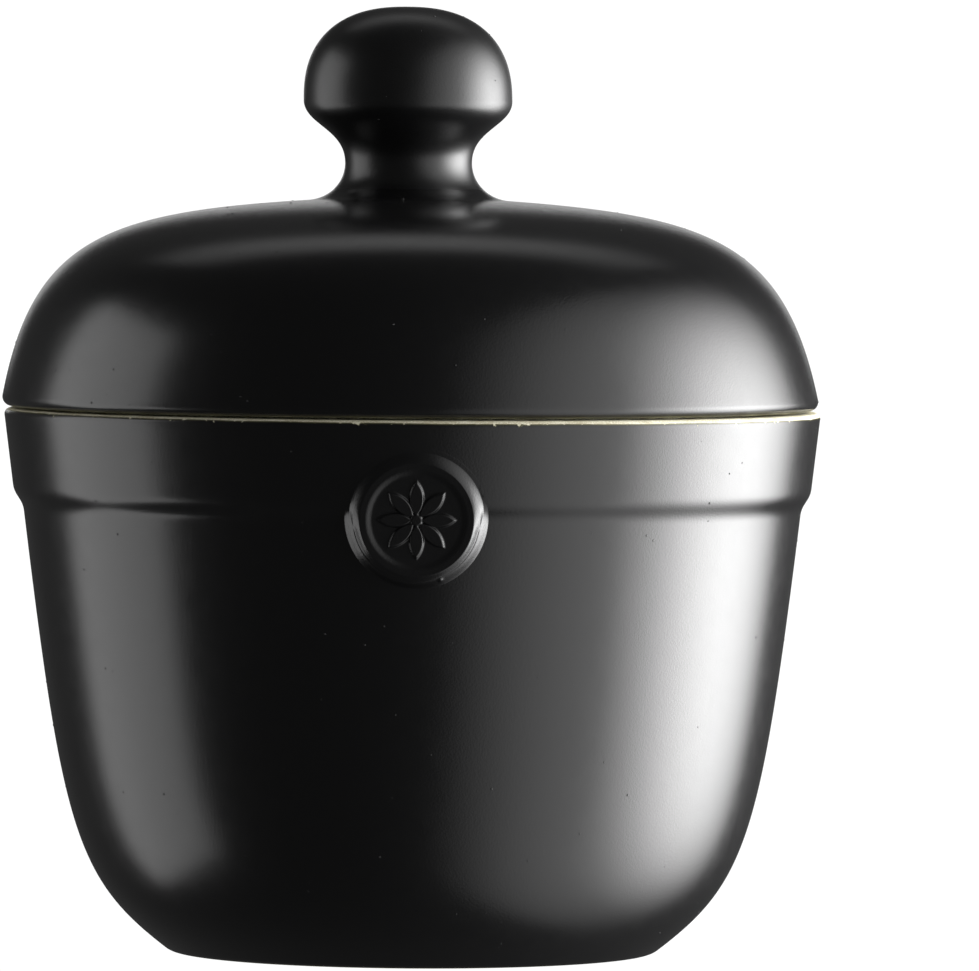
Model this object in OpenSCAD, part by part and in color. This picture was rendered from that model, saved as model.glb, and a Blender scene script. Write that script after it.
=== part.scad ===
// A lidded sugar bowl in glazed stoneware. The bowl stands on z = 0, the Z axis is the axis it was turned on,
// and the front, with the medallion, faces -Y. Millimetres.

/* [Bowl] */
// Diameter over the bowl's rim
rim_d = 110.6; // [92:0.1:140]
// Height of the bowl, from the table to its rim
bowl_h = 73.5; // [58:0.1:100]
// Thickness of the bowl's wall and floor
wall = 5; // [3.5:0.1:6.5]
// Diameter of the ring that the bowl stands on
foot_d = 64; // [52:0.1:70]
// Width of that ring
foot_ring_w = 4; // [2:0.1:8]
// Depth of the hollow inside that ring
foot_recess = 1; // [0.4:0.1:2]
// Lean of the wall below the rim, in degrees from upright
wall_lean = 6.9; // [3:0.1:10]
// Radius of the ring's outer edge
foot_round = 2.5; // [1:0.1:6]
// Rise of the underside where it leaves the foot, in degrees
foot_rise = 37.5; // [28:0.1:46]
// Reach of the curve out of the foot
foot_reach = 15.1; // [10:0.1:18]
// Share of the wall's height that runs almost straight
wall_share = 0.74; // [0.6:0.01:0.8]
// Radius of the rim's outer edge
rim_round = 0.8; // [0.4:0.1:1.5]
// Radius of the rim's inner edge
mouth_round = 1.2; // [0.4:0.1:1.5]

/* [Band] */
// Height of the raised band, from the top of its step to the rim
band_h = 10.3; // [8:0.1:14]
// How far the band stands out from the wall
band_rise = 1.05; // [0.6:0.05:1.8]
// Height of the band's ogee step
step_h = 3.6; // [1.8:0.1:5]

/* [Medallion] */
// Diameter over the medallion's raised edge
medal_d = 15; // [11:0.1:19]
// Distance of its centre below the rim
medal_drop = 12.7; // [10.5:0.1:15]
// How far its edge stands out from the band
medal_rise = 0.45; // [0.3:0.05:0.6]
// Width of its raised edge
medal_edge_w = 1.3; // [0.9:0.1:2]
// Depth of the dish inside the edge
medal_dish = 0.35; // [0.2:0.05:0.5]
// Width of the collar that spreads onto the wall
collar_w = 1.2; // [0.8:0.1:2]
// Number of petals in its rosette
petals = 8; // [6:1:12]
// Relief of the rosette above the dish
petal_rise = 0.3; // [0.15:0.05:0.5]

/* [Lid] */
// How far the lid's edge stands out past the bowl's rim
lid_overhang = 0; // [-1:0.1:2]
// Height of the dome, from its seat to its crown
dome_h = 28.1; // [24:0.1:40]
// Thickness of the dome
lid_wall = 4.5; // [3:0.1:6]
// Radius of the lid's lower edge
lid_edge_round = 1.2; // [0.8:0.1:2]
// Lean of the dome just above its edge, in degrees from upright
dome_lean = 11.2; // [8:0.1:20]
// Slope of the dome at its crown, in degrees
crown_slope = 3.8; // [2:0.1:8]
// Share of the dome's height that its side takes
side_share = 0.81; // [0.65:0.01:0.9]
// Share of the dome's breadth that its crown takes
crown_share = 0.66; // [0.55:0.01:0.8]
// Height of the land inside the lid, above the flange
land_h = 2.6; // [1.5:0.1:4]
// Gap between the lid's seat and the bowl's rim
seat_gap = 0.3; // [0.2:0.05:0.6]

/* [Flange] */
// How far the flange reaches down into the bowl
flange_h = 7; // [4:0.1:10]
// Thickness of the flange
flange_t = 3.4; // [2.5:0.1:5]
// Gap between the flange and the bowl's mouth
lid_play = 0.6; // [0.4:0.05:1.5]
// Radius of the flange's lower edges
flange_round = 1; // [0.4:0.1:1.2]

/* [Knob] */
// Diameter of the knob
knob_d = 28.3; // [24:0.1:36]
// Diameter of the waist below the knob
waist_d = 17.2; // [13:0.1:20]
// Diameter of the fillet where the waist meets the dome
stem_foot_d = 27.3; // [23:0.1:32]
// Height of the waist above the crown
waist_z = 5.1; // [4:0.05:7]
// Height of the knob's widest place above the waist
brim_z = 8.45; // [7:0.05:11]
// Height of the knob's top above its widest place
knob_rise = 12.7; // [9:0.05:16]

/* [Hidden] */
$fn = 96;

glaze = [0.09, 0.09, 0.09];
bare_clay = [0.90, 0.88, 0.76];
curve_n = 28;         // steps along a long curve
short_n = 8;          // steps along a short one
knob_power = 2.4;     // squareness of the knob's top: 2 is an ellipse
step_share = 0.45;    // how far the band's step holds to the wall's lean at either end
lute_i = 4;           // the step of the stem's fillet where the knob was luted on
land_i = 6;           // the step of the dome where the land runs into its inner face
rise_share = 0.54;    // handles of the knob's underside, as shares of its height
brim_share = 0.40;
round_share = 0.55;   // handle of a quarter turn, as a share of its radius
collar_drop = 0.8;    // the medallion's edge down to its collar
root_depth = 5;       // how far the medallion's root would reach behind its edge

// Points along a cubic curve, its point at t, and its direction at t
function bez_at(a, b, c, d, t) =
    pow(1 - t, 3) * a + 3 * pow(1 - t, 2) * t * b + 3 * (1 - t) * t * t * c + pow(t, 3) * d;
function bez_dir(a, b, c, d, t) = let (
    v = pow(1 - t, 2) * (b - a) + 2 * (1 - t) * t * (c - b) + t * t * (d - c)) v / norm(v);
function bez(q, n) = [for (i = [0:n]) bez_at(q[0], q[1], q[2], q[3], i / n)];
// The same curve moved sideways by d, to the left of its direction when d is positive
function bez_side(q, n, d) = [for (i = [0:n]) let (
    t = i / n, u = bez_dir(q[0], q[1], q[2], q[3], t)) bez_at(q[0], q[1], q[2], q[3], t) + d * [-u[1], u[0]]];
function arc(c, r, a0, a1, n) = [for (i = [0:n]) let (a = a0 + (a1 - a0) * i / n) c + r * [cos(a), sin(a)]];
function flip(p) = [for (i = [len(p) - 1:-1:0]) p[i]];
function part_of(p, i0, i1) = [for (i = [i0:i1]) p[i]];

// Bowl: a leaning wall, a step out to the band, and a mouth that leans as the wall does
lean = [sin(wall_lean), cos(wall_lean)];
rim_c = [rim_d / 2 - rim_round, bowl_h - rim_round];
band_z = bowl_h - band_h;
step_z = band_z - step_h;
function band_r(z) = rim_c[0] + rim_round / cos(wall_lean) - (rim_c[1] - z) * tan(wall_lean);
function wall_r(z) = band_r(z) - band_rise;
function mouth_r(z) = wall_r(z) - wall / cos(wall_lean);

foot_c = [foot_d / 2, foot_round];
belly = let (a = foot_c + foot_round * [sin(foot_rise), -cos(foot_rise)], d = [wall_r(step_z), step_z]) [
    a,
    a + foot_reach * [cos(foot_rise), sin(foot_rise)],
    d - wall_share * step_z * lean,
    d];
step = let (a = [wall_r(step_z), step_z], d = [band_r(band_z), band_z]) [
    a,
    a + step_share * step_h * lean,
    d - step_share * step_h * lean,
    d];
bowl_outer = concat(
    arc(foot_c, foot_round, -90, foot_rise - 90, short_n),
    part_of(bez(belly, curve_n), 1, curve_n),
    part_of(bez(step, short_n), 1, short_n),
    arc(rim_c, rim_round, -wall_lean, 90, short_n));
mouth_c = [mouth_r(bowl_h - mouth_round) + mouth_round / cos(wall_lean), bowl_h - mouth_round];
bowl_inner = concat(
    arc(mouth_c, mouth_round, 90, 180 - wall_lean, short_n),
    [for (p = flip(bez_side(belly, curve_n, wall))) [p[0], max(p[1], wall)]]);

// Lid: its edge, the dome over it, and the fillet that carries the knob
seat_z = bowl_h + seat_gap;
crown_z = seat_z + dome_h;
edge_c = [rim_d / 2 + lid_overhang - lid_edge_round, seat_z + lid_edge_round];
dome = let (
    a = edge_c + lid_edge_round * [cos(dome_lean), sin(dome_lean)],
    d = [stem_foot_d / 2, crown_z]) [
    a,
    a + side_share * (crown_z - a[1]) * [-sin(dome_lean), cos(dome_lean)],
    d + crown_share * (a[0] - d[0]) * [cos(crown_slope), -sin(crown_slope)],
    d];
stem = let (a = [stem_foot_d / 2, crown_z], d = [waist_d / 2, crown_z + waist_z]) [
    a,
    a + round_share * (a[0] - d[0]) * [-cos(crown_slope), sin(crown_slope)],
    d - round_share * waist_z * [0, 1],
    d];
stem_line = bez(stem, short_n);
lute_z = stem_line[lute_i][1];
flange_r = mouth_r(seat_z) - lid_play - flange_t;
dome_inner = bez_side(dome, curve_n, lid_wall);
land = let (a = [flange_r, seat_z + land_h], d = dome_inner[land_i]) [
    a,
    a + land_h * [0, 1],
    d - land_h * bez_dir(dome[0], dome[1], dome[2], dome[3], land_i / curve_n),
    d];

// Knob: from the luting line up over the waist to a squarish dome
brim_at = crown_z + waist_z + brim_z;
underside = [
    [waist_d / 2, crown_z + waist_z],
    [waist_d / 2, crown_z + waist_z + rise_share * brim_z],
    [knob_d / 2, brim_at - brim_share * brim_z],
    [knob_d / 2, brim_at]];
knob_top = [for (i = [1:curve_n]) let (a = 90 * i / curve_n) [
    i == curve_n ? 0 : knob_d / 2 * pow(cos(a), 2 / knob_power),
    brim_at + knob_rise * pow(sin(a), 2 / knob_power)]];

// Medallion: distances from its own axis, and heights measured from the plane of its edge
medal_z = bowl_h - medal_drop;
medal_at = [0, -band_r(medal_z) - medal_rise * lean[1], medal_z - medal_rise * lean[0]];
edge_r = medal_edge_w / 2;
dish_r = medal_d / 2 - medal_edge_w;
medal_side = concat(
    [[0, -medal_dish], [dish_r - medal_dish, -medal_dish]],
    arc([medal_d / 2 - edge_r, -edge_r], edge_r, 135, 20, short_n),
    [[medal_d / 2 + collar_w / 3, -collar_drop],
     [medal_d / 2 + collar_w, -collar_drop - collar_w],
     [medal_d / 2 + collar_w + 0.4, -root_depth],
     [0, -root_depth]]);
petal_l = dish_r - medal_dish - 0.8;
petal_w = 2 * PI * (petal_l * 0.62) / petals * 0.86;
petal_r = (petal_l * petal_l / 4 + petal_w * petal_w / 4) / petal_w;

module bowl_solid() {
    rotate_extrude() polygon(concat([[0, 0]], bowl_outer, [[0, bowl_h]]));
}

module bowl_body() {
    ring_r = foot_d / 2 - foot_ring_w;
    color(glaze) rotate_extrude() polygon(concat(
        [[0, foot_recess], [ring_r - foot_recess, foot_recess], [ring_r, 0]],
        bowl_outer,
        bowl_inner,
        [[0, bowl_inner[len(bowl_inner) - 1][1]]]));
}

// One petal: the lens between two circles, standing along +Y from the centre
module petal() {
    translate([0, petal_l / 2 + 0.4]) intersection() {
        translate([petal_r - petal_w / 2, 0]) circle(r = petal_r);
        translate([petal_w / 2 - petal_r, 0]) circle(r = petal_r);
    }
}

module rosette() {
    for (i = [0:petals - 1])
        rotate([0, 0, i * 360 / petals])
            translate([0, 0, -2 * medal_dish])
                linear_extrude(medal_dish + petal_rise) petal();
    translate([0, 0, -2 * medal_dish]) cylinder(r = petal_w * 0.42, h = medal_dish + petal_rise + 0.1);
}

module medallion() {
    color(glaze) difference() {
        translate(medal_at) rotate([90 + wall_lean, 0, 0]) union() {
            rotate_extrude() polygon(medal_side);
            rosette();
        }
        bowl_solid($fn = 256);
    }
}

module lid_dome() {
    color(glaze) rotate_extrude() polygon(concat(
        arc(edge_c, lid_edge_round, -90, dome_lean, short_n),
        part_of(bez(dome, curve_n), 1, curve_n),
        part_of(stem_line, 1, lute_i),
        [[0, lute_z], [0, dome_inner[curve_n][1]]],
        flip(part_of(dome_inner, land_i, curve_n)),
        part_of(flip(bez(land, short_n)), 1, short_n),
        [[flange_r, seat_z]]));
}

module lid_flange() {
    low_z = seat_z - flange_h;
    out_r = mouth_r(low_z) - lid_play;
    color(bare_clay) rotate_extrude() polygon(concat(
        [[flange_r, seat_z]],
        arc([out_r - flange_t + flange_round, low_z + flange_round], flange_round, 180, 270, short_n),
        arc([out_r - flange_round, low_z + flange_round], flange_round, 270, 360 - wall_lean, short_n),
        [[mouth_r(seat_z) - lid_play, seat_z]]));
}

module lid_knob() {
    color(glaze) rotate_extrude() polygon(concat(
        [[0, lute_z]],
        part_of(stem_line, lute_i, short_n),
        part_of(bez(underside, 2 * short_n), 1, 2 * short_n),
        knob_top));
}

bowl_body();
medallion();
lid_dome();
lid_flange();
lid_knob();
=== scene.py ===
import math

import bpy
import numpy as np
from mathutils import Matrix, Vector


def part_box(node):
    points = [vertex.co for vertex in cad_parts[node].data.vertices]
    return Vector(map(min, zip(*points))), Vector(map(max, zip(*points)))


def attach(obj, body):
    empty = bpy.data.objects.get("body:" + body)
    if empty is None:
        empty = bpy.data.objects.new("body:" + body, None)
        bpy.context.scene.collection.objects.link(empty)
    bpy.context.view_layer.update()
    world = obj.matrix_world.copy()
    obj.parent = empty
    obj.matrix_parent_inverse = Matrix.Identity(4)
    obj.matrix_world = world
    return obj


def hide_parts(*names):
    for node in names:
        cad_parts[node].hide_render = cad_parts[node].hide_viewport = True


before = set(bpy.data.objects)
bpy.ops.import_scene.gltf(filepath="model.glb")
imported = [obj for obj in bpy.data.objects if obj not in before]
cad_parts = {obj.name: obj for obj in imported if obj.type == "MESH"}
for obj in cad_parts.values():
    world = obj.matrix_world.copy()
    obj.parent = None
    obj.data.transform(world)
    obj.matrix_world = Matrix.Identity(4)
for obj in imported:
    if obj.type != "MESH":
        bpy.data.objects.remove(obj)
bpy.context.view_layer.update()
mm = 0.001
print("frame loaded:", sorted(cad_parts))


# A socket that takes part in Python sums. The same class builds shader, light and geometry trees.
class Wire:
    def __init__(self, tree, socket):
        self.tree = tree
        self.socket = socket

    def math(self, operation, *values):
        return addNode(self.tree, "ShaderNodeMath", {"operation": operation}, dict(enumerate(values)))

    def __add__(self, other):
        return self.math("ADD", self, other)

    def __radd__(self, other):
        return self.math("ADD", other, self)

    def __sub__(self, other):
        return self.math("SUBTRACT", self, other)

    def __rsub__(self, other):
        return self.math("SUBTRACT", other, self)

    def __mul__(self, other):
        return self.math("MULTIPLY", self, other)

    def __rmul__(self, other):
        return self.math("MULTIPLY", other, self)

    def __truediv__(self, other):
        return self.math("DIVIDE", self, other)

    def __rtruediv__(self, other):
        return self.math("DIVIDE", other, self)

    def __neg__(self):
        return self.math("MULTIPLY", self, -1.0)

    def other(self, output):  # another output of the same node
        return Wire(self.tree, self.socket.node.outputs[output])

    def between(self, low, high):  # 0 below low, 1 above high, smooth on the way
        return addNode(self.tree, "ShaderNodeMapRange", {"interpolation_type": "SMOOTHSTEP"},
                       {"Value": self, "From Min": low, "From Max": high})


# Any node: its type, its settings, its sockets' values or wires, and which output is wanted.
def addNode(tree, kind, settings=None, sockets=None, output=0):
    node = tree.nodes.new(kind)
    for name, value in (settings or {}).items():
        setattr(node, name, value)
    for name, value in (sockets or {}).items():
        if isinstance(value, Wire):
            tree.links.new(value.socket, node.inputs[name])
        else:
            node.inputs[name].default_value = value
    return Wire(tree, node.outputs[output]) if len(node.outputs) else node


# The camera stands in front, level with the knob. Its angles are in degrees.
cameraSet = {
    "distance": 1.5,
    "height": 112.2 * mm,
    "lens": 406.7,
    "sensor": 36,
    "tiltDown": 1.867,
    "turnRight": 0.401,
    "roll": 0.4,
    "clip": (0.01, 50),
}


def makeCamera(c):
    data = bpy.data.cameras.new("camera")
    data.lens = c["lens"]
    data.sensor_width = c["sensor"]
    data.clip_start, data.clip_end = c["clip"]
    camera = bpy.data.objects.new("camera", data)
    bpy.context.scene.collection.objects.link(camera)
    turn = Matrix.Rotation(math.radians(-c["turnRight"]), 4, "Z")
    tilt = Matrix.Rotation(math.radians(90 - c["tiltDown"]), 4, "X")
    roll = Matrix.Rotation(math.radians(c["roll"]), 4, "Z")
    camera.matrix_world = Matrix.Translation((0, -c["distance"], c["height"])) @ turn @ tilt @ roll
    bpy.context.scene.camera = camera


makeCamera(cameraSet)
print("camera placed")


# The studio. Azimuth 0 is towards the camera and + is to the right; elevation is up from the table.
studio = {
    "centre": (0, 0, 60 * mm),
    "distance": 1.1,
    "backdrop": 1.06,        # what the camera sees behind the pot
    "roomGlow": 0.058,       # what lights the pot from everywhere else
    "floorSize": 6.0,
}
softBoxes = {
    # radiance, middle and size in degrees, and how far the glow spreads over it, as shares of its size
    "leftBox": {"radiance": 1.95, "azimuth": -99, "elevation": -2, "wide": 44, "high": 70,
                "spreadX": 1.8, "spreadY": 1.2},
    "rightBox": {"radiance": 15.0, "azimuth": 100, "elevation": -2, "wide": 72, "high": 92,
                 "spreadX": 0.34, "spreadY": 0.26},
    "rightHaze": {"radiance": 2.15, "azimuth": 73, "elevation": -6, "wide": 120, "high": 122,
                  "spreadX": 0.32, "spreadY": 0.42},
    "topBox": {"radiance": 0.7, "azimuth": 180, "elevation": 57, "wide": 56, "high": 20,
               "spreadX": 0.6, "spreadY": 0.5},
    "backBox": {"radiance": 1.0, "azimuth": 180, "elevation": 8, "wide": 36, "high": 12,
                "spreadX": 0.9, "spreadY": 0.7},
}


def softBox(name, b):
    s = studio
    width = 2 * s["distance"] * math.tan(math.radians(b["wide"] / 2))
    height = 2 * s["distance"] * math.tan(math.radians(b["high"] / 2))
    light = bpy.data.lights.new(name, "AREA")
    light.shape = "RECTANGLE"
    light.size = width
    light.size_y = height
    light.energy = b["radiance"] * math.pi * width * height
    light.use_nodes = True
    tree = light.node_tree
    tree.nodes.clear()
    place = addNode(tree, "ShaderNodeNewGeometry", output="Parametric")
    split = addNode(tree, "ShaderNodeSeparateXYZ", {}, {0: place})
    across = (split - 0.5) / b["spreadX"]
    up = (split.other("Y") - 0.5) / b["spreadY"]
    glow = across.math("POWER", math.e, -(across * across + up * up))
    shine = addNode(tree, "ShaderNodeEmission", {}, {"Strength": glow})
    addNode(tree, "ShaderNodeOutputLight", {}, {"Surface": shine})
    lamp = bpy.data.objects.new(name, light)
    bpy.context.scene.collection.objects.link(lamp)
    a, e = math.radians(b["azimuth"]), math.radians(b["elevation"])
    way = Vector((math.sin(a) * math.cos(e), -math.cos(a) * math.cos(e), math.sin(e)))
    lamp.location = Vector(s["centre"]) + way * s["distance"]
    lamp.rotation_euler = way.to_track_quat("Z", "Y").to_euler()
    lamp.visible_camera = False


def makeRoom(s):
    world = bpy.data.worlds.new("room")
    bpy.context.scene.world = world
    world.use_nodes = True
    tree = world.node_tree
    tree.nodes.clear()
    seen = addNode(tree, "ShaderNodeLightPath", output="Is Camera Ray")
    strength = seen * (s["backdrop"] - s["roomGlow"]) + s["roomGlow"]
    glow = addNode(tree, "ShaderNodeBackground", {}, {"Color": (1, 1, 1, 1), "Strength": strength})
    addNode(tree, "ShaderNodeOutputWorld", {}, {"Surface": glow})


# The floor is pale and evenly lit, and is clear from below, so that the foot can be looked at.
def makeFloor(s):
    half = s["floorSize"] / 2
    mesh = bpy.data.meshes.new("floor")
    corners = [(-half, -half, 0), (half, -half, 0), (half, half, 0), (-half, half, 0)]
    mesh.from_pydata(corners, [], [(0, 1, 2, 3)])
    floor = bpy.data.objects.new("floor", mesh)
    bpy.context.scene.collection.objects.link(floor)
    material = bpy.data.materials.new("paleFloor")
    material.use_nodes = True
    tree = material.node_tree
    tree.nodes.clear()
    pale = addNode(tree, "ShaderNodeEmission", {}, {"Strength": s["backdrop"]})
    clear = addNode(tree, "ShaderNodeBsdfTransparent")
    below = addNode(tree, "ShaderNodeNewGeometry", output="Backfacing")
    both = addNode(tree, "ShaderNodeMixShader", {}, {0: below, 1: pale, 2: clear})
    addNode(tree, "ShaderNodeOutputMaterial", {}, {"Surface": both})
    mesh.materials.append(material)
    for name in ("visible_diffuse", "visible_glossy", "visible_shadow", "visible_transmission"):
        setattr(floor, name, False)


bpy.context.scene.view_settings.view_transform = "Standard"
makeRoom(studio)
makeFloor(studio)
for boxName, box in softBoxes.items():
    softBox(boxName, box)
print("studio lit")


# Profiles are lines of (radius, height) in metres. bend() is a curve between two ends with two handles,
# or a copy of it that keeps a distance to the left of the way it runs.
def bend(points, count, side=0.0):
    a, b, c, d = (np.array(p, float) for p in points)
    line = []
    for t in np.linspace(0, 1, count + 1):
        at = (1 - t) ** 3 * a + 3 * (1 - t) ** 2 * t * b + 3 * (1 - t) * t * t * c + t ** 3 * d
        way = (1 - t) ** 2 * (b - a) + 2 * (1 - t) * t * (c - b) + t * t * (d - c)
        way /= np.hypot(*way)
        line.append(at + side * np.array([-way[1], way[0]]))
    return line


def heading(degrees):  # one step outwards at 0, upwards at 90
    return np.array([math.cos(math.radians(degrees)), math.sin(math.radians(degrees))])


def arc(centre, radius, start, end, count):
    return [np.array(centre) + radius * heading(a) for a in np.linspace(start, end, count + 1)]


def run(start, end, count):  # a straight stretch, cut into even steps, without its first point
    a, b = np.array(start, float), np.array(end, float)
    return [a + (b - a) * t for t in np.linspace(0, 1, count + 1)[1:]]


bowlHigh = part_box("bowl_body")[1]
domeLow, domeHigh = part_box("lid_dome")
flangeLow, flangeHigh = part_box("lid_flange")
knobLow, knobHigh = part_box("lid_knob")

# Widths are radii, and angles are in degrees. A share says how far a curve's handle reaches.
bowl = {
    "rim": bowlHigh.x,
    "height": bowlHigh.z,
    "wall": 5 * mm,
    "foot": 32 * mm,
    "footRound": 2.5 * mm,
    "footRing": 4 * mm,       # width of the ring that it stands on
    "footHollow": 1 * mm,     # depth of the hollow inside the ring
    "lean": 6.9,              # of the wall, outwards
    "footRise": 37.5,         # of the belly where it leaves the foot
    "footReach": 15.1 * mm,   # of the belly's lower handle
    "wallShare": 0.74,
    "rimRound": 0.8 * mm,
    "mouthRound": 1.2 * mm,
    "band": 10.3 * mm,        # from the rim down to the top of the step
    "bandRise": 1.05 * mm,    # above the wall below it
    "step": 3.6 * mm,
    "stepShare": 0.45,
}
lean = heading(90 - bowl["lean"])
rimCentre = np.array([bowl["rim"] - bowl["rimRound"], bowl["height"] - bowl["rimRound"]])
bandFoot = bowl["height"] - bowl["band"]
stepFoot = bandFoot - bowl["step"]


def bandRadius(z):
    return rimCentre[0] + bowl["rimRound"] / lean[1] - (rimCentre[1] - z) * lean[0] / lean[1]


def wallRadius(z):
    return bandRadius(z) - bowl["bandRise"]


def mouthRadius(z):
    return wallRadius(z) - bowl["wall"] / lean[1]


def bowlProfile():
    b = bowl
    foot = np.array([b["foot"], 0.0])
    footCentre = foot + [0, b["footRound"]]
    low = footCentre + b["footRound"] * heading(b["footRise"] - 90)
    stepLow = np.array([wallRadius(stepFoot), stepFoot])
    stepHigh = np.array([bandRadius(bandFoot), bandFoot])
    belly = [low, low + b["footReach"] * heading(b["footRise"]),
             stepLow - b["wallShare"] * stepFoot * lean, stepLow]
    hold = b["stepShare"] * b["step"] * lean
    step = [stepLow, stepLow + hold, stepHigh - hold, stepHigh]
    outside = arc(footCentre, b["footRound"], -90, b["footRise"] - 90, 12) + bend(belly, 72)[1:]
    outside += bend(step, 14)[1:] + run(stepHigh, rimCentre + b["rimRound"] * heading(-b["lean"]), 12)
    outside += arc(rimCentre, b["rimRound"], -b["lean"], 90, 10)[1:]
    mouthZ = b["height"] - b["mouthRound"]
    mouthCentre = [mouthRadius(mouthZ) + b["mouthRound"] / lean[1], mouthZ]
    inside = run(outside[-1], (mouthCentre[0], b["height"]), 4)
    inside += arc(mouthCentre, b["mouthRound"], 90, 180 - b["lean"], 8)[1:]
    hollow = [np.maximum(p, (0, b["wall"])) for p in bend(belly, 60, b["wall"])[::-1]]
    inside += run(inside[-1], hollow[0], 10) + hollow[1:]
    inside += run(inside[-1], (0, inside[-1][1]), 14)
    ring = (b["foot"] - b["footRing"], 0)
    under = [np.array([0.0, b["footHollow"]])]
    under += run(under[0], (ring[0] - b["footHollow"], b["footHollow"]), 12)
    under += run(under[-1], ring, 3) + run(ring, foot, 4)
    return under + outside[1:] + inside, outside


lid = {
    "edge": domeHigh.x,
    "seat": domeLow.z,
    "crown": domeLow.z + 28.1 * mm,
    "wall": 4.5 * mm,
    "edgeRound": 1.2 * mm,
    "lean": 11.2,             # of the side, inwards
    "crownSlope": 3.8,        # of the top where it meets the stem
    "sideShare": 0.81,
    "crownShare": 0.66,
    "land": 2.6 * mm,         # how far the flat under the edge blends up into the hollow
    "landSteps": 18,          # steps of the hollow that the blend takes the place of
    "stemFoot": 13.65 * mm,
    "stemShare": 0.55,
    "waist": 8.6 * mm,
    "waistRise": 5.1 * mm,    # above the crown
}
flange = {
    "inside": mouthRadius(domeLow.z) - 4.0 * mm,
    "gap": 0.6 * mm,          # to the bowl's mouth
    "thick": 3.4 * mm,        # at its lower edge
    "round": 1 * mm,
}
knob = {
    "brim": knobHigh.x,
    "top": knobHigh.z,
    "lute": knobLow.z,        # the height where it is joined to the lid
    "brimRise": 8.45 * mm,    # above the waist
    "riseShare": 0.54,
    "brimShare": 0.40,
    "squareness": 2.4,        # of its cap: 2 is an ellipse
}


def stemLine(count):
    low = np.array([lid["stemFoot"], lid["crown"]])
    high = np.array([lid["waist"], lid["crown"] + lid["waistRise"]])
    inward = lid["stemShare"] * (low[0] - high[0]) * heading(180 - lid["crownSlope"])
    return bend([low, low + inward, high - [0, lid["stemShare"] * lid["waistRise"]], high], count)


def luteRadius():  # of the stem, where the knob is joined to the lid
    stem = np.array(stemLine(200))
    return float(np.interp(knob["lute"], stem[:, 1], stem[:, 0]))


def domeCurve():
    edge = np.array([lid["edge"] - lid["edgeRound"], lid["seat"] + lid["edgeRound"]])
    low = edge + lid["edgeRound"] * heading(lid["lean"])
    high = np.array([lid["stemFoot"], lid["crown"]])
    up = lid["sideShare"] * (lid["crown"] - low[1]) * heading(90 + lid["lean"])
    out = lid["crownShare"] * (low[0] - high[0]) * heading(-lid["crownSlope"])
    return [low, low + up, high + out, high], edge


def lidProfile():
    dome, edge = domeCurve()
    outside = arc(edge, lid["edgeRound"], -90, lid["lean"], 16) + bend(dome, 90)[1:]
    stem = [p for p in stemLine(48) if p[1] < knob["lute"] - 1e-6]
    outside += stem[1:]
    top = [np.array([luteRadius(), knob["lute"]]), np.array([0.0, knob["lute"]])]
    keep = bend(dome, 84, lid["wall"])[:lid["landSteps"] - 1:-1]
    landHigh = keep[-1]
    landWay = keep[-2] - keep[-1]
    landWay = landWay / np.hypot(*landWay)
    landLow = np.array([flange["inside"], lid["seat"] + lid["land"]])
    land = bend([landHigh, landHigh - lid["land"] * landWay, landLow + [0, lid["land"]], landLow], 16)
    low = np.array([flange["inside"], lid["seat"]])
    hollow = [np.array([0.0, keep[0][1]])] + run((0, keep[0][1]), keep[0], 6) + keep[1:] + land[1:]
    hollow += run(landLow, low, 3) + run(low, outside[0], 8)[:-1]
    return outside + top, hollow


def knobProfile():
    waist = np.array([lid["waist"], lid["crown"] + lid["waistRise"]])
    brim = np.array([knob["brim"], waist[1] + knob["brimRise"]])
    curve = [waist, waist + [0, knob["riseShare"] * knob["brimRise"]],
             brim - [0, knob["brimShare"] * knob["brimRise"]], brim]
    stem = [p for p in stemLine(48) if p[1] > knob["lute"] + 1e-6]
    power = 2 / knob["squareness"]
    top = []
    for t in np.linspace(0, 90, 61)[1:-1]:
        across, up = heading(t) ** power
        top.append(np.array([brim[0] * across, brim[1] + (knob["top"] - brim[1]) * up]))
    top.append(np.array([0.0, knob["top"]]))
    low = [np.array([0.0, knob["lute"]]), np.array([luteRadius(), knob["lute"]])]
    return low + stem + bend(curve, 44)[1:] + top


def flangeProfile():
    r = flange["round"]
    low, high = flangeLow.z, flangeHigh.z
    outer = mouthRadius(low) - flange["gap"]
    top = (mouthRadius(high) - flange["gap"], high)
    innerTop = (flange["inside"], high)
    points = [np.array(top)] + run(top, innerTop, 8)
    points += run(innerTop, (outer - flange["thick"], low + r), 8)
    points += arc((outer - flange["thick"] + r, low + r), r, 180, 270, 8)[1:]
    points += arc((outer - r, low + r), r, 270, 360 - bowl["lean"], 8)
    points += run(points[-1], top, 8)
    return points


# The finishes. Sizes and depths are in millimetres.
glaze = {
    "colour": (0.0045, 0.0045, 0.0047),
    "roughness": 0.23,
    "knobRoughness": 0.33,    # where it is handled
    "mottle": 0.035,          # how far the roughness wanders
    "mottleSize": 2.2,
    "peelSize": 0.25,         # across one dimple of the skin
    "peelDepth": 0.011,
    "waveSize": 5.0,
    "waveDepth": 0.006,
    "thick": 0.06,            # how far it stands above the clay
    "edgeTone": (0.16, 0.15, 0.075),
}
clay = {
    "colour": (0.88, 0.85, 0.67),
    "grain": (0.60, 0.55, 0.38),
    "roughness": 0.82,
    "grainSize": 0.22,
    "grainDepth": 0.02,
    "cloudSize": 3.0,         # of the paler and darker patches
    "poreSpacing": 0.625,
    "skinDepth": 0.03,
}


def newMaterial(name):
    material = bpy.data.materials.new(name)
    material.use_nodes = True
    material.node_tree.nodes.clear()
    return material, material.node_tree


def placeInMm(tree):
    place = addNode(tree, "ShaderNodeTexCoord", output="Object")
    return addNode(tree, "ShaderNodeVectorMath", {"operation": "SCALE"}, {0: place, "Scale": 1000.0})


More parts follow.
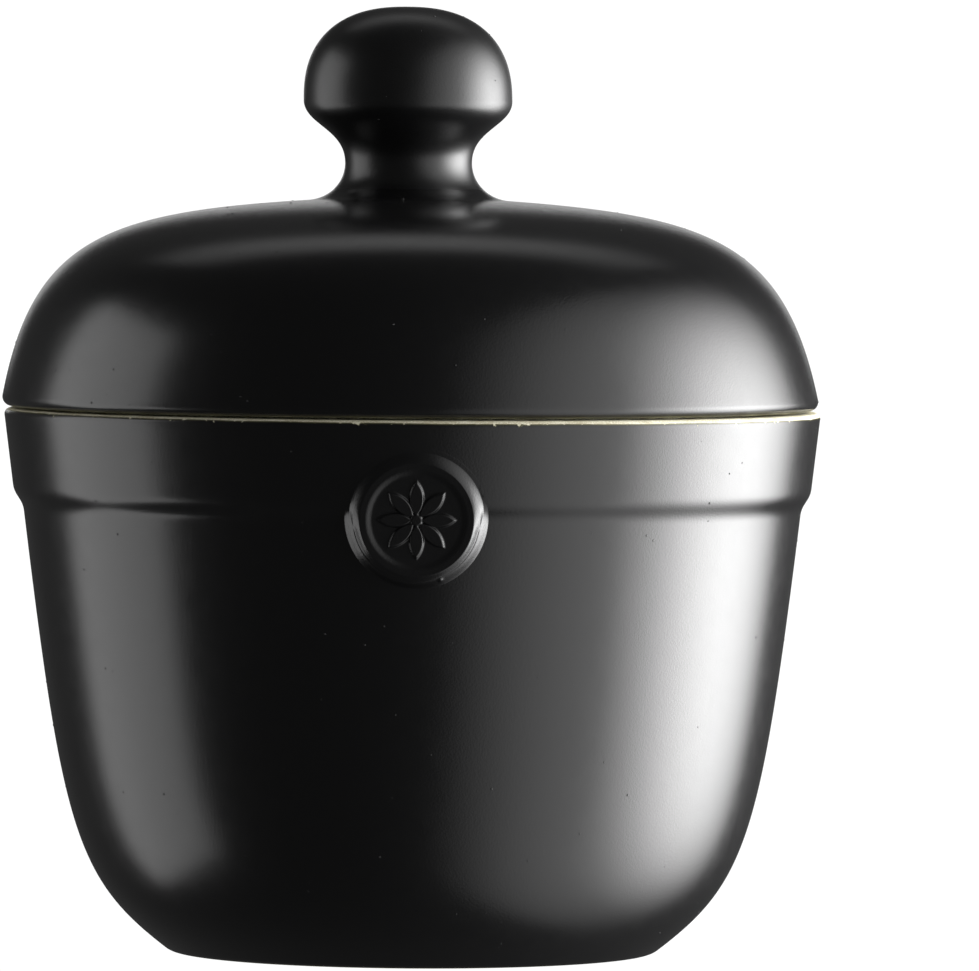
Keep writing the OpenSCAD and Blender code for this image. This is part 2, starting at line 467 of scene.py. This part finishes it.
def noise(tree, place, size, detail=2.0):
    return addNode(tree, "ShaderNodeTexNoise", {}, {"Vector": place, "Scale": 1.0 / size, "Detail": detail})


def mixTone(tree, share, first, second):
    return addNode(tree, "ShaderNodeMix", {"data_type": "RGBA"}, {0: share, 6: first, 7: second}, 2)


def bumpFrom(tree, height, distance=1.0 * mm):
    return addNode(tree, "ShaderNodeBump", {}, {"Height": height, "Distance": distance, "Strength": 1.0})


def clayLook(tree, place):
    grains = noise(tree, place, clay["grainSize"], 4.0)
    cloud = noise(tree, place, clay["cloudSize"])
    pale = (grains * 0.7 + cloud * 0.5).between(0.45, 0.75)
    return mixTone(tree, pale, (*clay["grain"], 1), (*clay["colour"], 1)), grains


# Bare clay all over, dry and finely grained.
def makeClay():
    material, tree = newMaterial("bareClay")
    place = placeInMm(tree)
    tone, grains = clayLook(tree, place)
    pores = addNode(tree, "ShaderNodeTexVoronoi", {}, {"Vector": place, "Scale": 1 / clay["poreSpacing"]})
    skin = bumpFrom(tree, grains * 0.5 + pores.between(0.0, 0.25), clay["skinDepth"] * mm)
    look = addNode(tree, "ShaderNodeBsdfPrincipled", {}, {
        "Base Color": tone, "Roughness": clay["roughness"], "IOR": 1.5, "Normal": skin})
    addNode(tree, "ShaderNodeOutputMaterial", {}, {"Surface": look})
    return material


# Satin black glaze. Where a piece has bare clay, bare() gives how far a spot is past the glaze's edge,
# in millimetres.
def makeGlaze(name, bare=None, roughness=glaze["roughness"]):
    material, tree = newMaterial(name)
    place = placeInMm(tree)
    x = addNode(tree, "ShaderNodeSeparateXYZ", {}, {0: place})
    y, z = x.other("Y"), x.other("Z")
    peel = noise(tree, place, glaze["peelSize"], 1.0)
    wave = noise(tree, place, glaze["waveSize"], 1.0)
    patch = noise(tree, place, glaze["mottleSize"], 3.0)
    rough = roughness + (patch - 0.5) * (2 * glaze["mottle"])
    height = peel * glaze["peelDepth"] + wave * glaze["waveDepth"]
    tone = None
    if bare is not None:
        over = bare(tree, place, (x * x + y * y).math("SQRT", x * x + y * y), x, z)
        mask = over.between(-0.03, 0.05)      # 1 where the clay is bare
        thin = over.between(-0.25, 0.02)      # the glaze thins to olive before it ends
        clayTone, grains = clayLook(tree, place)
        body = mixTone(tree, thin * thin, (*glaze["colour"], 1), (*glaze["edgeTone"], 1))
        tone = mixTone(tree, mask, body, clayTone)
        rough = rough * (1 - mask) + mask * clay["roughness"]
        height = (height + glaze["thick"]) * (1 - mask) + mask * (grains * clay["grainDepth"])
    skin = bumpFrom(tree, height)
    look = addNode(tree, "ShaderNodeBsdfPrincipled", {}, {
        "Base Color": tone or (*glaze["colour"], 1), "Roughness": rough, "IOR": 1.5, "Normal": skin})
    addNode(tree, "ShaderNodeOutputMaterial", {}, {"Surface": look})
    return material


glazeLine = {
    "belowRim": 0.36,        # millimetres of bare clay down the outside of the rim
    "tilt": 0.20,            # how much lower the line runs on the right than at the front
    "insideRim": 1.5,        # and down the inside
    "aboveSeat": 0.02,       # and up the lid's edge, which is bare only underneath
    "underLid": 1.4,         # and up inside the lid from its seat
    "wander": 0.22,          # how far the line strays, and over what length
    "wanderSize": 9.0,
    "nickSize": 0.8,         # where flecks of glaze have come off the edge
    "nickDepth": 0.30,
    "foot": 0.03,            # and up from the table, round the standing ring
}


def wanderOf(tree, place):
    return (noise(tree, place, glazeLine["wanderSize"], 3.0) - 0.5) * glazeLine["wander"]


def bareOnBowl(tree, place, radius, x, z):
    nick = noise(tree, place, glazeLine["nickSize"]).between(0.62, 0.72) * glazeLine["nickDepth"]
    outside = radius.between(rimCentre[0] / mm - 2.5, rimCentre[0] / mm - 1.5)
    down = glazeLine["belowRim"] + x * (glazeLine["tilt"] / (bowl["rim"] / mm))
    line = bowl["height"] / mm - down * outside - (1 - outside) * glazeLine["insideRim"]
    top = z - (line + wanderOf(tree, place) - nick)
    foot = bowl["foot"] / mm
    ring = radius.between(foot - 5.2, foot - 4.8) * (1 - radius.between(foot + 0.8, foot + 1.1))
    below = (glazeLine["foot"] - z) * ring + (ring - 1)
    return top.math("MAXIMUM", top, below)


def bareOnLid(tree, place, radius, x, z):
    outside = radius.between(lid["edge"] / mm - 2.6, lid["edge"] / mm - 1.6)
    line = lid["seat"] / mm + glazeLine["aboveSeat"] * outside + (1 - outside) * glazeLine["underLid"]
    return line + wanderOf(tree, place) - z


glazeOnBowl = makeGlaze("glazeOnBowl", bareOnBowl)
glazeOnLid = makeGlaze("glazeOnLid", bareOnLid)
glazeAlone = makeGlaze("glazeAlone")
glazeOnKnob = makeGlaze("glazeOnKnob", roughness=glaze["knobRoughness"])
bareClay = makeClay()
print("finishes mixed")


# Turning: a profile is carried round the axis by a Geometry Nodes tree.
turning = {
    "segments": 384,
    "knobSegments": 256,
    "wobble": 0.03 * mm,      # a thrown pot is never quite round
    "wobbleSize": 30 * mm,
    "calmRadius": 4 * mm,     # within which the wobble dies away towards the axis
    "sharpAngle": 40.0,
    # how each body sits, as hand-made ware does: shift, lean to the right per unit of height, and from where
    "bowlSets": (0.0, -0.005, 68 * mm),
    "lidSets": (-0.30 * mm, -0.0145, 74 * mm),
}
grit = {
    "perSquareMetre": 9000.0,   # grains under the glaze
    "size": 0.19 * mm,          # radius of the largest
    "smallest": 0.35,           # of the largest
    "flat": 0.45,
    "clearBelow": 3 * mm,       # none by the table
    "seed": 7,
}


def newTree(name, inputs):
    tree = bpy.data.node_groups.new(name, "GeometryNodeTree")
    tree.interface.new_socket("Geometry", in_out="OUTPUT", socket_type="NodeSocketGeometry")
    tree.interface.new_socket("Geometry", in_out="INPUT", socket_type="NodeSocketGeometry")
    for label, kind in inputs.items():
        tree.interface.new_socket(label, in_out="INPUT", socket_type="NodeSocket" + kind)
    given = addNode(tree, "NodeGroupInput")
    return tree, given


def applyTree(piece, tree, values):
    modifier = piece.modifiers.new(tree.name, "NODES")
    modifier.node_group = tree
    for item in tree.interface.items_tree:
        if item.item_type == "SOCKET" and item.in_out == "INPUT" and item.name in values:
            modifier[item.identifier] = values[item.name]
    graph = bpy.context.evaluated_depsgraph_get()
    mesh = bpy.data.meshes.new_from_object(
        piece.evaluated_get(graph), preserve_all_data_layers=True, depsgraph=graph)
    piece.modifiers.clear()
    piece.data = mesh
    mesh.name = piece.name


def wheelTree():
    tree, given = newTree("turnOnWheel", {"Segments": "Int", "Wobble": "Float", "Wobble Size": "Float",
                                          "Calm Radius": "Float", "Sharp Angle": "Float", "Shift": "Float",
                                          "Lean": "Float", "Lean From": "Float", "Material": "Material"})
    points = addNode(tree, "GeometryNodeAttributeDomainSize", {}, {0: given})
    columns = given.other("Segments") + 1.0
    grid = addNode(tree, "GeometryNodeMeshGrid", {}, {"Vertices X": points, "Vertices Y": columns})
    index = addNode(tree, "GeometryNodeInputIndex")
    share = (index + 0.5) / columns
    row = share.math("FLOOR", share)       # a row for each point of the profile, a column for each spoke
    column = index - row * columns
    where = addNode(tree, "GeometryNodeInputPosition")
    drawn = addNode(tree, "GeometryNodeSampleIndex", {"data_type": "FLOAT_VECTOR"},
                    {"Geometry": given, "Value": where, "Index": row})
    radius = addNode(tree, "ShaderNodeSeparateXYZ", {}, {0: drawn})
    height = radius.other("Z")
    angle = column * (2 * math.pi) / given.other("Segments")
    east, north = angle.math("COSINE", angle), angle.math("SINE", angle)
    plain = addNode(tree, "ShaderNodeCombineXYZ", {}, {0: radius * east, 1: radius * north, 2: height})
    swell = noise(tree, plain, given.other("Wobble Size"), 1.0)
    out = radius + (swell - 0.5) * 2 * given.other("Wobble") * radius / (radius + given.other("Calm Radius"))
    aside = given.other("Shift") + (height - given.other("Lean From")) * given.other("Lean")
    place = addNode(tree, "ShaderNodeCombineXYZ", {}, {0: out * east + aside, 1: out * north, 2: height})
    moved = addNode(tree, "GeometryNodeSetPosition", {}, {"Geometry": grid, "Position": place})
    closed = addNode(tree, "GeometryNodeMergeByDistance", {}, {"Geometry": moved, "Distance": 0.001 * mm})
    corner = addNode(tree, "GeometryNodeInputMeshEdgeAngle")
    sharp = addNode(tree, "FunctionNodeCompare", {"operation": "GREATER_THAN"},
                    {0: corner, 1: given.other("Sharp Angle")})
    smooth = addNode(tree, "GeometryNodeSetShadeSmooth", {"domain": "FACE"},
                     {"Geometry": closed, "Shade Smooth": True})
    split = addNode(tree, "GeometryNodeSetShadeSmooth", {"domain": "EDGE"},
                    {"Geometry": smooth, "Selection": sharp, "Shade Smooth": False})
    real = addNode(tree, "GeometryNodeRealizeInstances", {}, {0: split})
    dressed = addNode(tree, "GeometryNodeSetMaterial", {},
                      {"Geometry": real, "Material": given.other("Material")})
    addNode(tree, "NodeGroupOutput", {}, {0: dressed})
    return tree


# Small grains stand up under the glaze, scattered over a turned piece.
def grainTree():
    tree, given = newTree("grainsUnderGlaze", {"Density": "Float", "Size": "Float", "Smallest": "Float",
                                               "Flatness": "Float", "Clear Below": "Float", "Seed": "Int",
                                               "Material": "Material"})
    where = addNode(tree, "GeometryNodeInputPosition")
    height = addNode(tree, "ShaderNodeSeparateXYZ", {}, {0: where}, "Z")
    clear = addNode(tree, "FunctionNodeCompare", {"operation": "GREATER_THAN"},
                    {0: height, 1: given.other("Clear Below")})
    spots = addNode(tree, "GeometryNodeDistributePointsOnFaces", {},
                    {"Mesh": given, "Selection": clear, "Density": given.other("Density"),
                     "Seed": given.other("Seed")})
    grain = addNode(tree, "GeometryNodeMeshIcoSphere", {}, {"Radius": given.other("Size"), "Subdivisions": 1})
    size = addNode(tree, "FunctionNodeRandomValue", {"data_type": "FLOAT"},
                   {2: given.other("Smallest"), 3: 1.0, "Seed": given.other("Seed")}, 1)
    scale = addNode(tree, "ShaderNodeCombineXYZ", {}, {0: size, 1: size, 2: size * given.other("Flatness")})
    placed = addNode(tree, "GeometryNodeInstanceOnPoints", {},
                     {"Points": spots, "Instance": grain, "Rotation": spots.other("Rotation"),
                      "Scale": scale})
    real = addNode(tree, "GeometryNodeRealizeInstances", {}, {0: placed})
    smooth = addNode(tree, "GeometryNodeSetShadeSmooth", {"domain": "FACE"},
                     {"Geometry": real, "Shade Smooth": True})
    dressed = addNode(tree, "GeometryNodeSetMaterial", {},
                      {"Geometry": smooth, "Material": given.other("Material")})
    both = addNode(tree, "GeometryNodeJoinGeometry", {}, {0: given})
    tree.links.new(dressed.socket, both.socket.node.inputs[0])
    addNode(tree, "NodeGroupOutput", {}, {0: both})
    return tree


wheel = wheelTree()
grains = grainTree()


def volumeOf(mesh):
    mesh.calc_loop_triangles()
    place = np.zeros(len(mesh.vertices) * 3)
    mesh.vertices.foreach_get("co", place)
    corners = np.zeros(len(mesh.loop_triangles) * 3, dtype=np.int32)
    mesh.loop_triangles.foreach_get("vertices", corners)
    a, b, c = (place.reshape(-1, 3)[corners.reshape(-1, 3)[:, i]] for i in range(3))
    return float((a * np.cross(b, c)).sum() / 6)


def faceOutward(piece):
    if volumeOf(piece.data) < 0:
        piece.data.flip_normals()


def turn(name, profile, material, sets, segments=turning["segments"]):
    mesh = bpy.data.meshes.new(name)
    mesh.from_pydata([(p[0], 0, p[1]) for p in profile], [(i, i + 1) for i in range(len(profile) - 1)], [])
    piece = bpy.data.objects.new(name, mesh)
    bpy.context.scene.collection.objects.link(piece)
    applyTree(piece, wheel, {"Segments": segments, "Wobble": turning["wobble"],
                             "Wobble Size": turning["wobbleSize"], "Calm Radius": turning["calmRadius"],
                             "Sharp Angle": math.radians(turning["sharpAngle"]), "Shift": sets[0],
                             "Lean": sets[1], "Lean From": sets[2], "Material": material})
    faceOutward(piece)
    if material != bareClay:
        applyTree(piece, grains, {"Density": grit["perSquareMetre"], "Size": grit["size"],
                                  "Smallest": grit["smallest"], "Flatness": grit["flat"],
                                  "Clear Below": grit["clearBelow"], "Seed": grit["seed"],
                                  "Material": material})
    print(name, "turned:", len(piece.data.polygons), "faces")
    return piece


bowlLoop, bowlOutside = bowlProfile()
lidOutside, lidHollow = lidProfile()
bowlShell = turn("bowlShell", bowlLoop, glazeOnBowl, turning["bowlSets"])
lidShell = turn("lidShell", lidOutside + lidHollow, glazeOnLid, turning["lidSets"])
lidKnob = turn("lidKnob", knobProfile(), glazeOnKnob, turning["lidSets"], turning["knobSegments"])
lidFlange = turn("lidFlange", flangeProfile(), bareClay, turning["lidSets"])


# The medallion is a dished disc with a rosette of petals, on a lobe of the band.
badgeSet = {
    "centre": 60.5 * mm,     # height of its centre
    "turned": 0.65,          # degrees round the bowl, to the right of the front
    "rise": 0.45 * mm,       # of its edge above the band
    "crest": 7.25 * mm,      # radius of the top of its edge
    "crestFlat": 0.25 * mm,
    "dish": 6.0 * mm,
    "dishDepth": 0.17 * mm,
    "dishEdge": 0.2 * mm,    # how far inside the dish its side begins
    "discFoot": 8.28 * mm,   # where the disc meets the lobe
    "bandFoot": 8.95 * mm,   # where it runs out on the band
    "lobeTop": 8.35 * mm,
    "lobeFoot": 9.45 * mm,
    "skirt": 10.4 * mm,      # the margin that sinks into the wall
    "sink": 0.4,             # how fast it sinks
    "thick": 1.2 * mm,       # of the skirt
    "root": 3.2 * mm,        # how deep its middle reaches into the wall
    "petals": 8,
    "petalShort": 1.15 * mm,  # how far their tips stay inside the dish
    "petalOut": 0.4 * mm,    # how far they are pushed out from the middle
    "petalFill": 0.86,       # of the room that each one has
    "petalRise": 0.3 * mm,
    "petalSoft": 0.32 * mm,
    "button": 0.42,          # radius of the button in the middle, as a share of a petal's width
    "buttonRise": 1.2,       # as a share of the petals' rise
    "bead": (3.26 * mm, -8.07 * mm, 0.26 * mm, 0.26 * mm),   # a bead of glaze: across, up, radius, height
    "spokes": 360,
}


def smoothStep(t):
    t = np.clip(t, 0, 1)
    return t * t * (3 - 2 * t)


def flank(t):  # almost straight, with soft ends
    return 0.75 * np.clip(t, 0, 1) + 0.25 * smoothStep(t)


def rosette(b, u, v):  # relief above the dish, over the plane of the medallion
    length = b["dish"] - b["petalShort"]
    width = 2 * math.pi * (length * 0.62) / b["petals"] * b["petalFill"]
    bow = (length ** 2 / 4 + width ** 2 / 4) / width      # radius of a petal's sides
    angle = np.arctan2(u, v)
    share = 2 * math.pi / b["petals"]
    turned = (angle + share / 2) % share - share / 2
    reach = np.hypot(u, v)
    side, along = reach * np.sin(turned), reach * np.cos(turned)
    inside = bow - np.hypot(np.abs(side) + bow - width / 2, along - length / 2 - b["petalOut"])
    petal = smoothStep(inside / b["petalSoft"] + 0.15)
    button = smoothStep((width * b["button"] - reach) / b["petalSoft"] + 0.3)
    return b["petalRise"] * np.maximum(petal, button * b["buttonRise"])


def badgeFaces(layers, spokes):  # rings of four-sided faces, closed by a fan in front and one behind
    front = (layers + 1) * spokes
    faces = []
    for i in range(layers):
        for j in range(spokes):
            k = (j + 1) % spokes
            faces.append((i * spokes + j, i * spokes + k, (i + 1) * spokes + k, (i + 1) * spokes + j))
    for j in range(spokes):
        k = (j + 1) % spokes
        faces.append((front, k, j))
        faces.append((front + 1, layers * spokes + j, layers * spokes + k))
    return faces


def makeBadge(b):
    normal = np.array([0, -lean[1], -lean[0]])
    east = np.array([1.0, 0, 0])
    north = np.array([0, -lean[0], lean[1]])
    middle = np.array([0, -bandRadius(b["centre"]), b["centre"]]) + b["rise"] * normal
    rings = np.concatenate([np.linspace(low, high, count)[1:] for low, high, count in (
        (0, b["dish"], 50), (b["dish"], b["lobeFoot"], 85), (b["lobeFoot"], b["skirt"], 12))])
    turns = np.arange(b["spokes"]) * 2 * math.pi / b["spokes"]
    reach, angle = np.meshgrid(rings, turns, indexing="ij")
    u, v = reach * np.cos(angle), reach * np.sin(angle)
    front = middle + u[..., None] * east + v[..., None] * north

    def depthTo(radiusAt):  # how far behind the plane the turned surface lies, found step by step
        depth = np.full(u.shape, b["rise"])
        for _ in range(12):
            at = front - depth[..., None] * normal
            gap = np.hypot(at[..., 0], at[..., 1]) - radiusAt(at[..., 2])
            depth = depth + gap * 0.9
        return depth

    outline = np.array(bowlOutside)
    wall = depthTo(lambda z: np.interp(z, outline[:, 1], outline[:, 0]))
    band = depthTo(bandRadius)
    lobe = wall + (band - wall) * (1 - flank((reach - b["lobeTop"]) / (b["lobeFoot"] - b["lobeTop"])))
    foot = b["discFoot"] + (b["bandFoot"] - b["discFoot"]) * smoothStep((v / reach + 0.25) / 0.5)
    start = b["crest"] + b["crestFlat"]
    disc = lobe * flank((reach - start) / (foot - start))
    side = (reach - b["dish"] + b["dishEdge"]) / (b["crest"] - b["crestFlat"] - b["dish"])
    dish = b["dishDepth"] * (1 - smoothStep(side))
    depth = np.where(reach < b["crest"], dish - rosette(b, u, v), disc)
    depth = np.where(reach > b["lobeFoot"], wall + b["sink"] * (reach - b["lobeFoot"]) ** 2 / mm, depth)
    bead = b["bead"]
    depth = depth - bead[3] * np.exp(-((u - bead[0]) ** 2 + (v - bead[1]) ** 2) / bead[2] ** 2)
    place = front - depth[..., None] * normal
    centre = middle - (b["dishDepth"] - rosette(b, np.zeros(1), np.zeros(1))[0]) * normal
    back = place[-1] - b["thick"] * normal
    hub = middle - b["root"] * normal
    points = np.concatenate([place.reshape(-1, 3), back, [centre, hub]])
    turned = np.array(Matrix.Rotation(math.radians(b["turned"]), 3, "Z"))
    mesh = bpy.data.meshes.new("medallionFace")
    mesh.from_pydata((points @ turned.T).tolist(), [], badgeFaces(len(rings), b["spokes"]))
    mesh.polygons.foreach_set("use_smooth", [True] * len(mesh.polygons))
    mesh.materials.append(glazeAlone)
    badge = bpy.data.objects.new("badge", mesh)
    bpy.context.scene.collection.objects.link(badge)
    faceOutward(badge)
    return badge


badge = makeBadge(badgeSet)
print("medallion pressed:", len(badge.data.polygons), "faces")

for piece, body, slot, nodes in (
        (bowlShell, "bowl", "black_glaze", ["bowl_body"]),
        (badge, "bowl", "black_glaze", ["medallion"]),
        (lidShell, "lid", "black_glaze", ["lid_dome"]),
        (lidFlange, "lid", "bare_clay", ["lid_flange"]),
        (lidKnob, "lid", "black_glaze", ["lid_knob"])):
    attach(piece, body)
    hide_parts(*nodes)
